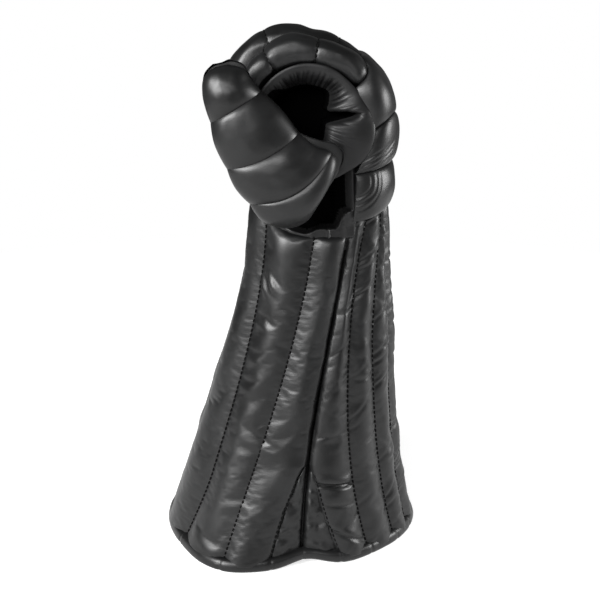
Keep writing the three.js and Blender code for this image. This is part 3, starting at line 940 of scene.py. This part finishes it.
class COVER_OT_linings(bpy.types.Operator):
    """Makes the cuff's knitted lining and the pocket that holds the club's head"""

    bl_idname = "head_cover.linings"
    bl_label = "Linings"

    def execute(self, context):
        rise = np.linspace(3, CUFF_TOP, 90)[None, :]
        angle = around(0, 360, 180)
        sag = 0.7 * noise(angle / 14, rise / 30, 71)
        neck = 14 * smooth((angle - 232) / 14) * smooth((292 - angle) / 8) * smooth((rise - 218) / 18)
        points = place_on_cuff(angle + 0 * rise, rise + 0 * angle, -LINING_IN + sag - neck)
        piece = grid_mesh("cuff_knit_lining", points, "knitted_lining", ring=True)
        wall = piece.modifiers.new("thickness", "SOLIDIFY")
        wall.thickness = LINING_THICKNESS * MM
        wall.offset = 0
        stands_for(piece, ["cuff_lining"])
        self.pocket()
        self.elastic()
        return {"FINISHED"}

    def pocket(self):
        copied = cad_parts["pocket_lining"].data.copy()
        piece = placed("pocket_knit_lining", copied)
        copied.materials.clear()
        copied.materials.append(finishes()["knitted_lining"])
        merge(piece)
        even = piece.modifiers.new("even", "REMESH")
        even.mode = "VOXEL"
        even.voxel_size = POCKET_VOXEL * MM
        even.use_smooth_shade = True
        soft = piece.modifiers.new("soft", "SMOOTH")
        soft.factor = 0.5
        soft.iterations = 4
        bpy.context.view_layer.update()
        soft = bpy.data.meshes.new_from_object(as_built(piece))
        place = places_of(soft) / MM
        s = settings()
        across = place[:, 0] - s.cuff_lean / MM
        rounder = s.wrist_half_width / s.wrist_half_depth
        angle = np.degrees(np.arctan2(place[:, 1] * rounder, across)) % 360
        sunk = wrist_recess(angle, place[:, 2]) * smooth((296 - place[:, 2]) / 8)
        place[:, 0] -= sunk * np.cos(np.radians(angle))
        place[:, 1] -= sunk * np.sin(np.radians(angle))
        soft.vertices.foreach_set("co", (place * MM).ravel())
        piece.modifiers.clear()
        piece.data = soft
        stands_for(piece, ["pocket_lining"])

    def elastic(self):
        low, high = corners("wrist_elastic")
        angle = np.linspace(70, 290, 240)[:, None]
        z = np.linspace(low[2], high[2], 13)[None, :]
        gather = 0.5 * np.sin(angle * 2.4) * np.sin(np.pi * (z - low[2]) / (high[2] - low[2]))
        points = wrist_point(angle + 0 * z, z + 0 * angle, gather - 3.5)
        piece = grid_mesh("wrist_elastic_band", points, "knitted_lining")
        thicken(piece)
        stands_for(piece, ["wrist_elastic"])


# ---- Wrist and hand ----
def ring_edge(theta, stops):
    """A seam round the fist's back, from its near end at -90 to its far end at 90."""
    place = curve_through(stops, np.abs(theta))
    return np.stack([place[..., 0], place[..., 1] * np.sign(theta), place[..., 2]], -1)


# Each seam across the back, from the middle of the back to its end: angle of the turn, x, y and z.
KNUCKLE_SEAM = (
    (0, 49.5, 0, 359.5), (30, 49.2, 22, 360), (52, 48.5, 36, 358.5),
    (68, 51.5, 42, 352), (80, 49.5, 45.5, 345.5), (90, 42.5, 47, 338.5))
HAND_SEAM = (
    (0, 73.2, 0, 320), (30, 72.2, 20, 321.5), (55, 69.5, 34, 322), (75, 63, 43, 317), (90, 55.0, 46.5, 311))
WRIST_SEAM = (
    (0, 71.5, 0, 288), (30, 70, 20, 287.5), (55, 64.5, 34, 286), (75, 55, 43, 284), (90, 44.5, 46, 282.5))
CUFF_SEAM = (
    (0, 71, 0, 257.5), (30, 69, 20, 256.5), (55, 63, 34, 254), (75, 53.5, 42.5, 251), (90, 43.5, 45.5, 249.5))


def make_roll(name, upper, lower, height, wrinkles, steps=(150, 56)):
    """A padded roll between two seams across the back. It flattens towards its ends, under the palm's edge.
    """
    theta = np.linspace(-90, 90, steps[0])[:, None]
    v = eased(steps[1])[None, :]
    high = ring_edge(theta[:, 0], upper)[:, None, :]
    low = ring_edge(theta[:, 0], lower)[:, None, :]
    flat = mix(low, high, v[..., None])
    outward = normals_of(flat)
    outward = np.repeat(outward[:, outward.shape[1] // 2][:, None], v.shape[1], 1)
    outward *= np.sign(outward[steps[0] // 2, 0, 0])
    arc = theta * BACK_ARC
    tall = np.linalg.norm(high - low, axis=2)
    edge = np.minimum(v, 1 - v) * tall
    ends = (90 - np.abs(theta)) * BACK_ARC
    fill = (4 * v * (1 - v)) ** 0.5 * (1 - 0.75 * np.exp(-ends / 5))
    out = height * fill + wrinkles(arc, v * tall) * (1 - np.exp(-edge / 4)) - 1.2
    points = flat + outward * out[..., None]
    pucker = np.exp(-np.minimum(edge, ends) / 8)
    return grid_mesh(name, points, "black_leather", pucker=pucker)


def calm(arc, up):
    """The soft dents of the roll over the back of the hand."""
    return 0.5 * noise(arc / 20, up / 14, 81) + 0.25 * noise(arc / 8, up / 7, 82)


def pulled(arc, up):
    """Creases that fan up and back from the lower corner at each end, and fade towards the top."""
    from_end = 85 - np.abs(arc)
    slant = up - 0.42 * from_end + 1.2 * noise(arc / 14, up / 9, 91)
    folds = -1.3 * bump(np.sin(np.pi * slant / 4.8), 0.48)
    lower = smooth((15 - up + 0.25 * from_end) / 7) * smooth((46 - from_end) / 22) * smooth(from_end / 5)
    return folds * lower + 0.6 * noise(arc / 17, up / 12, 93)


def arched(arc, up):
    """Arcs nested about the upper corner at each end."""
    from_end = 85 - np.abs(arc)
    reach = np.hypot(from_end - 3, 1.1 * (27 - up)) + 1.0 * noise(arc / 9, up / 9, 97)
    arcs = -0.8 * bump(np.sin(np.pi * reach / 5.2), 0.55) * smooth((27 - reach) / 8) * smooth((reach - 5) / 3)
    return arcs + 0.6 * noise(arc / 16, up / 12, 98)


class COVER_OT_wrist_rolls(bpy.types.Operator):
    """Makes the two padded rolls of the wrist and the roll over the back of the hand"""

    bl_idname = "head_cover.wrist_rolls"
    bl_label = "Wrist and hand rolls"

    def execute(self, context):
        rolls = (
            ("hand_back_leather", KNUCKLE_SEAM, HAND_SEAM, 7.5, calm, nodes_like("hand_back_roll")),
            ("wrist_upper_leather", HAND_SEAM, WRIST_SEAM, 5.5, pulled, nodes_like("wrist_roll_upper")),
            ("wrist_lower_leather", WRIST_SEAM, CUFF_SEAM, 5.0, arched, nodes_like("wrist_roll_lower")),
        )
        for name, upper, lower, height, wrinkles, nodes in rolls:
            piece = make_roll(name, upper, lower, height, wrinkles)
            thicken(piece)
            stands_for(piece, nodes)
        return {"FINISHED"}


def wrist_recess(angle, z):
    """How far the wrist's soft leather sinks in under the thumb, beside a smooth strip along the rolls."""
    bottom = palm_top(angle) + 0.3 + 4 * smooth((angle - 255) / 14) + 12 * smooth((angle - 281) / 10)
    return 13 * smooth((angle - 234) / 14) * smooth((295 - angle) / 5) * smooth((z - bottom) / 4)


def wrist_point(angle, z, out):
    """A point of the soft leather on the wrist's palm side."""
    s = settings()
    turn = np.radians(angle)
    rise = z - CUFF_HEIGHT
    side = by_angle(angle)
    out = out - 2.2 - wrist_recess(angle, z) - 3 * smooth((CUFF_TOP - 4 - z) / 4)
    strip = 4.8 * smooth((side - 286) / 7) * smooth((z - CUFF_TOP - 2) / 12)
    out = out + strip - 3 * np.exp((side - 300) / 0.8)
    wide = s.wrist_half_width / MM + 0.05 * rise + out
    deep = s.wrist_half_depth / MM + 0.5 + out
    x = s.cuff_lean / MM - 0.08 * rise + wide * np.cos(turn)
    return np.stack([x, deep * np.sin(turn) + 0 * z, z + 0 * turn], -1)


def finger_sizes(node):
    """Middle and half width across the fist, and the outer radius, from the frame."""
    low, high = corners(node)
    return (low[1] + high[1]) / 2, (high[1] - low[1]) / 2, high[2] - CURL[2]


# Cross seams of each finger, as angles round the curl's centre.
FINGER_CREASES = {
    "index": (80, 121, 170), "middle": (65, 116, 168), "ring": (68, 118, 170), "little": (78, 121, 170)}
FINGER_ENDS = (31, 222)

# How far each finger's outer line stands off its plain radius, by angle round the curl's centre.
SIDE_FINGER_LINE = (
    (30, -2.8), (36, -2.2), (43, -0.7), (50, -0.1), (66, -1.6), (80, -1.8),
    (90, -0.6), (99, 1.0), (108, 0.4), (125, -2.6), (138, -3.6), (222, -4.0))
MIDDLE_FINGER_LINE = (
    (30, -4.6), (48, -4.0), (61, -4.0), (73, -3.0), (85, -2.7), (93, -0.1),
    (103, 1.9), (117, 2.6), (130, 2.4), (143, 2.2), (180, 0.0), (222, -1.0))


def finger_radii(name, angle, outer):
    """Inner and outer radius of a finger along its curl."""
    middle = name in ("middle", "ring")
    knuckle = smooth((80 - angle) / 45)
    inner = 34.5 + 4.0 * knuckle + (4 if middle else 0)
    line = MIDDLE_FINGER_LINE if middle else SIDE_FINGER_LINE
    return inner, outer + curve_through(line, angle)[..., 0]


def finger_point(name, angle, turn, out=0.0):
    """A point of a finger: its angle round the curl and its turn round the finger, 0 outside."""
    middle, half_width, outer = finger_sizes(f"{name}_finger_cover")
    inner, rim = finger_radii(name, angle, outer)
    seam = to_nearest(FINGER_CREASES[name], angle) * FINGER_ARC
    ends = np.minimum(angle - FINGER_ENDS[0], FINGER_ENDS[1] - angle) * FINGER_ARC
    close = np.sqrt(1 - np.clip(1 - ends / 9, 0, 1) ** 2 * 0.96)
    depth = 0.07 if name in ("middle", "ring") else 0.14
    nipped = (1 - depth * np.exp(-seam / 2.2)) * close
    half = (rim - inner) / 2
    c = boxy(np.cos(turn), 0.85)
    w = boxy(np.sin(turn), 0.85)
    radius = inner + half + (half * nipped + out) * c
    y = middle + ((half_width + 0.9) * nipped + out) * w
    return about_curl(angle, radius, y)


class COVER_OT_fingers(bpy.types.Operator):
    """Makes the four curled fingers, nipped at each joint's seam"""

    bl_idname = "head_cover.fingers"
    bl_label = "Fingers"

    def execute(self, context):
        for number, name in enumerate(FINGER_CREASES):
            stops = [FINGER_ENDS[0], *FINGER_CREASES[name], FINGER_ENDS[1]]
            angle = between(stops, 34)[None, :]
            turn = around(0, 2 * math.pi, 72)
            seam = to_nearest(stops, angle)
            arc = angle * FINGER_ARC
            folds = 0.45 * noise(arc / 13 + 9 * number, turn * 2.2, 101) + 0.2 * noise(arc / 5, turn * 4, 102)
            points = finger_point(name, angle + 0 * turn, turn + 0 * angle, folds)
            pucker = np.exp(-seam / 7) + 0 * turn
            piece = grid_mesh(
                f"{name}_finger_leather", points, "black_leather", ring=True, ends=True, pucker=pucker)
            nodes = nodes_like(f"{name}_finger_cover", f"{name}_finger_pad")
            stands_for(piece, nodes)
        return {"FINISHED"}


# The thumb's cross sections from tip to root: share, left x and z, right x and z.
THUMB_SECTIONS = (
    (0.00, -47.0, 352.5, -39.0, 354.5),
    (0.06, -51.5, 348.0, -31.5, 352.5),
    (0.16, -53.0, 338.0, -26.0, 345.5),
    (0.30, -49.3, 319.5, -19.0, 338.0),
    (0.42, -46.0, 305.0, -6.5, 325.5),
    (0.53, -39.5, 289.8, 5.0, 311.7),
    (0.65, -33.5, 277.5, 15.5, 302.5),
    (0.76, -25.5, 266.8, 26.5, 298.5),
    (0.90, -15.5, 254.5, 27.5, 285.0),
    (1.00, -4.0, 249.5, 17.0, 270.0),
)
THUMB_SEAMS = (0.30, 0.53, 0.76)
# How far each cross section bows towards the root, by share.
THUMB_BOW = ((0, 0), (0.30, 0.5), (0.53, 4.0), (0.76, 9.0), (1, 7.0))
# How far in front of the fist's middle the thumb lies, and its length.
THUMB_MIDDLE = 62.0
THUMB_LENGTH = 108.0


def thumb_point(u, v, out, front=True):
    """A point of the thumb: u from tip to root, v from its left edge to its right edge."""
    lines = curve_through(THUMB_SECTIONS, u)
    left = lines[..., 0:2]
    right = lines[..., 2:4]
    flat = mix(left, right, v[..., None])
    seam = to_nearest(THUMB_SEAMS, u) * THUMB_LENGTH
    tip = 1 - np.clip(1 - u / 0.26, 0, 1) ** 2
    root = 1 - np.clip(1 - (1 - u) / 0.16, 0, 1) ** 2
    body = np.sqrt(np.clip(tip * root, 0, 1))
    dome = np.clip(4 * v * (1 - v), 0, 1) ** 0.5
    thick = 14 * dome * body ** 1.4 * (1 - 0.13 * np.exp(-seam / 1.3) - 0.16 * np.exp(-seam / 6))
    middle = THUMB_MIDDLE - 5 * smooth((u - 0.6) / 0.4) + 2 * smooth((0.2 - u) / 0.2)
    y = -(middle + thick + out * dome) if front else -(middle - (0.7 * thick + out * dome))
    bulge = np.where(v < 0.5, 1.1, 1.3) * (1 - np.exp(-seam / 5)) * (2 * v - 1)
    across = right - left
    across = across / np.linalg.norm(across, axis=-1, keepdims=True)
    rootward = np.stack([across[..., 1], -across[..., 0]], -1)
    bow = curve_through(THUMB_BOW, u)[..., 0] * 4 * v * (1 - v)
    flat = flat + across * (bulge * body)[..., None] + rootward * bow[..., None]
    return np.stack([flat[..., 0], y, flat[..., 1]], -1)


class COVER_OT_thumb(bpy.types.Operator):
    """Makes the thumb's padded cover and the leather behind it, with its lip round the tip"""

    bl_idname = "head_cover.thumb"
    bl_label = "Thumb"

    def execute(self, context):
        u = between([0, *THUMB_SEAMS, 1], 48)[None, :]
        v = eased(110)[:, None]
        seam = to_nearest(THUMB_SEAMS, u) * THUMB_LENGTH
        folds = 0.8 * noise(v * 3.2, u * 9, 111) + 0.25 * noise(v * 8, u * 20, 112)
        folds = folds * (1 - np.exp(-seam / 3))
        points = thumb_point(u + 0 * v, v + 0 * u, folds)
        pucker = 0.3 * np.exp(-seam / 6) + 0 * v
        piece = grid_mesh("thumb_leather", points, "black_leather", pucker=pucker)
        thicken(piece)
        stands_for(piece, ["thumb_cover", *nodes_like("thumb_pad")])
        turn = around(0, 2 * math.pi, 150)
        w = (1 - np.cos(turn)) / 2
        back = thumb_point(u + 0 * w, w + 0 * u, 0 * (u + w), front=False)
        face = -THUMB_MIDDLE + 2 - 3.0 * (np.clip(w * (1 - w), 0, 1) ** 0.3) + 5 * smooth((u - 0.6) / 0.4)
        back[..., 1] = np.where(turn > math.pi, face, back[..., 1])
        grown = smooth((w - 0.55) / 0.4) * (1.5 + 6.0 * smooth((u - 0.5) / 0.2))
        back[..., 0] += grown * 0.75 - 1.0 * smooth((0.4 - w) / 0.4) * smooth((0.25 - u) / 0.2)
        back[..., 2] += grown * 0.65 + 3.2 * smooth((0.2 - u) / 0.2)
        piece = grid_mesh(
            "thumb_back_leather", back, "black_leather", ring=True, ends=True, pucker=0.2 + 0 * w)
        stands_for(piece, ["thumb_palm_leather"])
        return {"FINISHED"}


def palm_seam_radius(angle):
    """Radius of the seam between the palm and the fingers, by angle round the curl's centre."""
    stops = (
        (-180, 34), (-125, 40), (-90, 42), (-51, 43), (-26, 47), (2, 45), (17, 42), (33, 39), (67, 37.5),
        (90, 36.5), (127, 34.5), (180, 34))
    return curve_through(stops, angle)[..., 0]


def palm_mouth_radius(angle):
    """Radius where the palm's leather turns down into the hollow."""
    stops = (
        (-180, 27), (-120, 26), (-75, 20), (-46, 20), (-20, 17), (-8, 18), (-1, 26), (4, 35), (9, 37),
        (14, 30), (20, 20), (30, 21), (45, 26), (70, 25.5), (130, 25), (180, 27))
    return curve_through(stops, angle)[..., 0]


class COVER_OT_palm(bpy.types.Operator):
    """Makes the palm's leather, gathered into its seam and sunk into a hollow"""

    bl_idname = "head_cover.palm"
    bl_label = "Palm"

    def execute(self, context):
        angle = around(-180, 180, 720)
        s = np.linspace(0, 1, 60)[None, :]
        seam = palm_seam_radius(angle)
        mouth = palm_mouth_radius(angle)
        lip = smooth(s / 0.42)
        down = np.clip((s - 0.30) / 0.45, 0, 1)
        floor = np.clip((s - 0.75) / 0.25, 0, 1)
        radius = mix(seam, mouth, lip ** 0.8) * (1 - 0.22 * smooth(down)) * (1 - floor)
        flap = bump(angle + 22, 26)
        puff = np.sin(np.pi * np.clip(s / 0.42, 0, 1)) * (1.2 + 3.2 * flap + 2.0 * bump(angle - 20, 10))
        top = smooth((angle - 12) / 15) * smooth((160 - angle) / 15)
        side = smooth((angle + 70) / 20) * smooth((25 - angle) / 10) * 0.12
        pleats = np.sin(np.radians(angle) * 56 + 3.5 * noise(angle / 6, s * 1.5, 121))
        pleats = pleats + 0.9 * noise(angle / 2.2, s * 2, 122)
        amount = (top + side) * smooth((s - 0.10) / 0.18) * smooth((0.62 - s) / 0.2)
        y = -(FACE - 1.5 + puff) + mix(9 * top * smooth(s / 0.42) ** 1.3, HOLLOW_DEPTH, smooth(down) ** 1.2)
        y = y + 0.75 * pleats * amount + 0.35 * noise(angle / 12, s * 6, 123) * (1 - floor)
        points = about_curl(angle, radius, y)
        pucker = (amount + 0.1) * (1 - smooth(down))
        # How far down the hollow, which is also painted shade: it darkens the leather's colour, earlier on
        # the side where the thumb shades the hollow, and its deepest part gets the near-black painted-shade
        # finish.
        depth = smooth((s - 0.26 + 0.26 * smooth((np.abs(angle) - 112) / 28)) / 0.25)
        piece = grid_mesh(
            "palm_hollow_leather", points, "palm_leather_matt", ring=True, flip=True,
            pucker=pucker, depth=depth)
        paint_hollow_shade(piece, depth + 0 * angle)
        merge(piece, 0.001)
        thicken(piece)
        stands_for(piece, ["palm_leather"])
        self.side()
        self.wrist()
        return {"FINISHED"}

    def side(self):
        """The plain dished leather on the little finger's side."""
        angle = around(-180, 180, 360)
        s = np.linspace(0, 1, 50)[None, :]
        radius = palm_seam_radius(angle) * (1 - s)
        dish = smooth(s / 0.55)
        y = FACE - 1.5 - 9 * dish + 2.2 * np.sin(np.pi * np.clip(s / 0.5, 0, 1))
        y = y + 0.5 * noise(angle / 18, s * 5, 131) * (1 - s)
        pleats = np.sin(np.radians(angle) * 48 + 2 * noise(angle / 7, s * 2, 132))
        y = y + 0.6 * pleats * np.exp(-((s - 0.12) / 0.12) ** 2) * (1 - s)
        points = about_curl(angle, radius, y)
        piece = grid_mesh("little_finger_side", points, "palm_leather_matt", ring=True, pucker=0.3)
        merge(piece, 0.001)
        thicken(piece)
        stands_for(piece, ["little_finger_side_leather"])

    def wrist(self):
        """The soft leather round the wrist's palm side, sunk under the thumb and gathered at its ends."""
        angle = np.linspace(61, 299, 460)[:, None]
        z = np.linspace(CUFF_TOP - 14, 290, 104)[None, :]
        above = smooth((z - 251) / 5)
        gather = np.sin(z / 0.46 + 3.5 * noise(angle / 9, z / 6, 141)) * bump(angle - 285, 5.5) * above
        far_gather = np.sin(z / 0.46 + 3.5 * noise(angle / 9, z / 6, 143)) * bump(angle - 74, 9) * above
        rows = 0.5 * noise(angle / 5, z / 14, 142)
        welt = 1.6 * bump(angle - 275, 1.1) * smooth((253 - z) / 3)
        points = wrist_point(angle + 0 * z, z + 0 * angle, 0.7 * (gather + far_gather) + rows + welt)
        pucker = bump(angle - 284, 9) + bump(angle - 72, 12) + 0.2 + 0 * z
        # Painted shade: the sunk recess under the thumb darkens the leather's colour, and its deepest part
        # gets the near-black painted-shade finish.
        depth = smooth(wrist_recess(angle, z) / 9)
        piece = grid_mesh("wrist_soft_leather", points, "palm_leather_matt", pucker=pucker, depth=depth)
        paint_hollow_shade(piece, depth)
        thicken(piece)
        stands_for(piece, ["wrist_palm_leather"])


class COVER_OT_stitching(bpy.types.Operator):
    """Sews every seam with short round stitches"""

    bl_idname = "head_cover.stitching"
    bl_label = "Stitching"

    def execute(self, context):
        self.cuff()
        self.hand()
        return {"FINISHED"}

    def cuff(self):
        paths = []
        near = [seam_front, seam_near]
        for seam in near + [mirrored(f) for f in near] + [lambda z: 180 + 0 * z]:
            z = np.linspace(9, CUFF_TOP - 2, 120)
            angle = seam(z)
            paths.append(place_on_cuff(angle, palm_height(angle, z), -1.0 + 0 * z))
        left_edge = lambda z: gusset_edge_left(z) - 2
        right_edge = lambda z: gusset_edge_right(z) + 2
        for edge in (left_edge, right_edge):
            for seam in (edge, mirrored(edge)):
                z = np.linspace(11, GUSSET_TOP - 8, 50)
                paths.append(place_on_cuff(seam(z), z, -0.6 + 0 * z))
        for seam in SEAMS_BACK + [mirrored(f) for f in SEAMS_BACK] + [lambda z: 0 * z]:
            z = np.linspace(9, ROLL_LOW - 1, 120)
            paths.append(place_on_back(seam(z), z, -1.0 + 0 * z))
        stitch("cuff_stitches", paths)

    def hand(self):
        paths = []
        v = np.linspace(0.04, 0.96, 60)
        for share in THUMB_SEAMS:
            paths.append(thumb_point(share + 0 * v, v, 0.6 + 0 * v))
        turn = np.linspace(-math.pi, math.pi, 90)
        for name, creases in FINGER_CREASES.items():
            for angle in creases:
                paths.append(finger_point(name, angle + 0 * turn, turn, 0.3))
        stitch("hand_stitches", paths)


class COVER_OT_stage(bpy.types.Operator):
    """Sets the pale floor, the studio lights and the camera"""

    bl_idname = "head_cover.stage"
    bl_label = "Stage"

    def execute(self, context):
        s = settings()
        scene = context.scene
        scene.view_settings.view_transform = "Standard"
        mesh = bpy.data.meshes.new("floor")
        turns = [2 * math.pi * i / FLOOR_SIDES for i in range(FLOOR_SIDES)]
        rim = [(FLOOR_RADIUS * math.cos(t), FLOOR_RADIUS * math.sin(t), 0) for t in turns]
        mesh.from_pydata(rim, [], [tuple(range(FLOOR_SIDES))])
        floor = placed("floor", mesh)
        paper = Finish("pale_floor")
        paper.set(Base_Color=FLOOR_COLOUR, Roughness=0.9, Emission_Color=WHITE, Emission_Strength=FLOOR_GLOW)
        mesh.materials.append(paper.material)

        world = bpy.data.worlds.new("studio")
        world.use_nodes = True
        background = world.node_tree.nodes["Background"]
        background.inputs["Color"].default_value = WHITE
        background.inputs["Strength"].default_value = WORLD_STRENGTH
        scene.world = world
        # The camera sees plain white behind the floor, and the leather a dimmer sky.
        sky = Socket(world.node_tree, background.outputs[0])
        white = sky.node("ShaderNodeBackground", {"Color": WHITE, "Strength": 1.0})
        seen = sky.node("ShaderNodeLightPath", output=0)
        backdrop = sky.node("ShaderNodeMixShader", {0: seen, 1: sky, 2: white})
        world.node_tree.links.new(backdrop.socket, world.node_tree.nodes["World Output"].inputs["Surface"])

        for values in LIGHTS:
            self.light(*values)

        camera = bpy.data.cameras.new("camera")
        camera.lens = s.camera_lens
        camera.sensor_width = 36
        eye = placed("camera", camera)
        eye.location = (CAMERA_SIDE, -s.camera_distance, s.camera_height)
        eye.rotation_euler = (math.pi / 2 - s.camera_pitch, 0, 0)
        scene.camera = eye
        return {"FINISHED"}

    def light(self, name, place, target, size, power):
        lamp = bpy.data.lights.new(name, "AREA")
        lamp.size = size
        lamp.energy = power
        held = placed(name, lamp)
        held.location = place
        held.rotation_euler = (Vector(target) - Vector(place)).to_track_quat("-Z", "Y").to_euler()


class COVER_PT_panel(bpy.types.Panel):
    """The head cover's settings and steps"""

    bl_label = "Padded head cover"
    bl_idname = "COVER_PT_panel"
    bl_space_type = "VIEW_3D"
    bl_region_type = "UI"
    bl_category = "Head cover"

    def draw(self, context):
        for name in CoverSettings.__annotations__:
            self.layout.prop(context.scene.head_cover, name)
        for step in STEPS:
            self.layout.operator(step.bl_idname)


STEPS = (
    COVER_OT_stage,
    COVER_OT_cuff,
    COVER_OT_binding,
    COVER_OT_linings,
    COVER_OT_wrist_rolls,
    COVER_OT_fingers,
    COVER_OT_thumb,
    COVER_OT_palm,
    COVER_OT_stitching,
)
CLASSES = (CoverSettings, *STEPS, COVER_PT_panel)


def register():
    for cls in CLASSES:
        bpy.utils.register_class(cls)
    bpy.types.Scene.head_cover = bpy.props.PointerProperty(type=CoverSettings)


def unregister():
    del bpy.types.Scene.head_cover
    for cls in reversed(CLASSES):
        bpy.utils.unregister_class(cls)


def main():
    register()
    for step in STEPS:
        group, name = step.bl_idname.split(".")
        getattr(getattr(bpy.ops, group), name)()


if __name__ == "__main__":
    main()
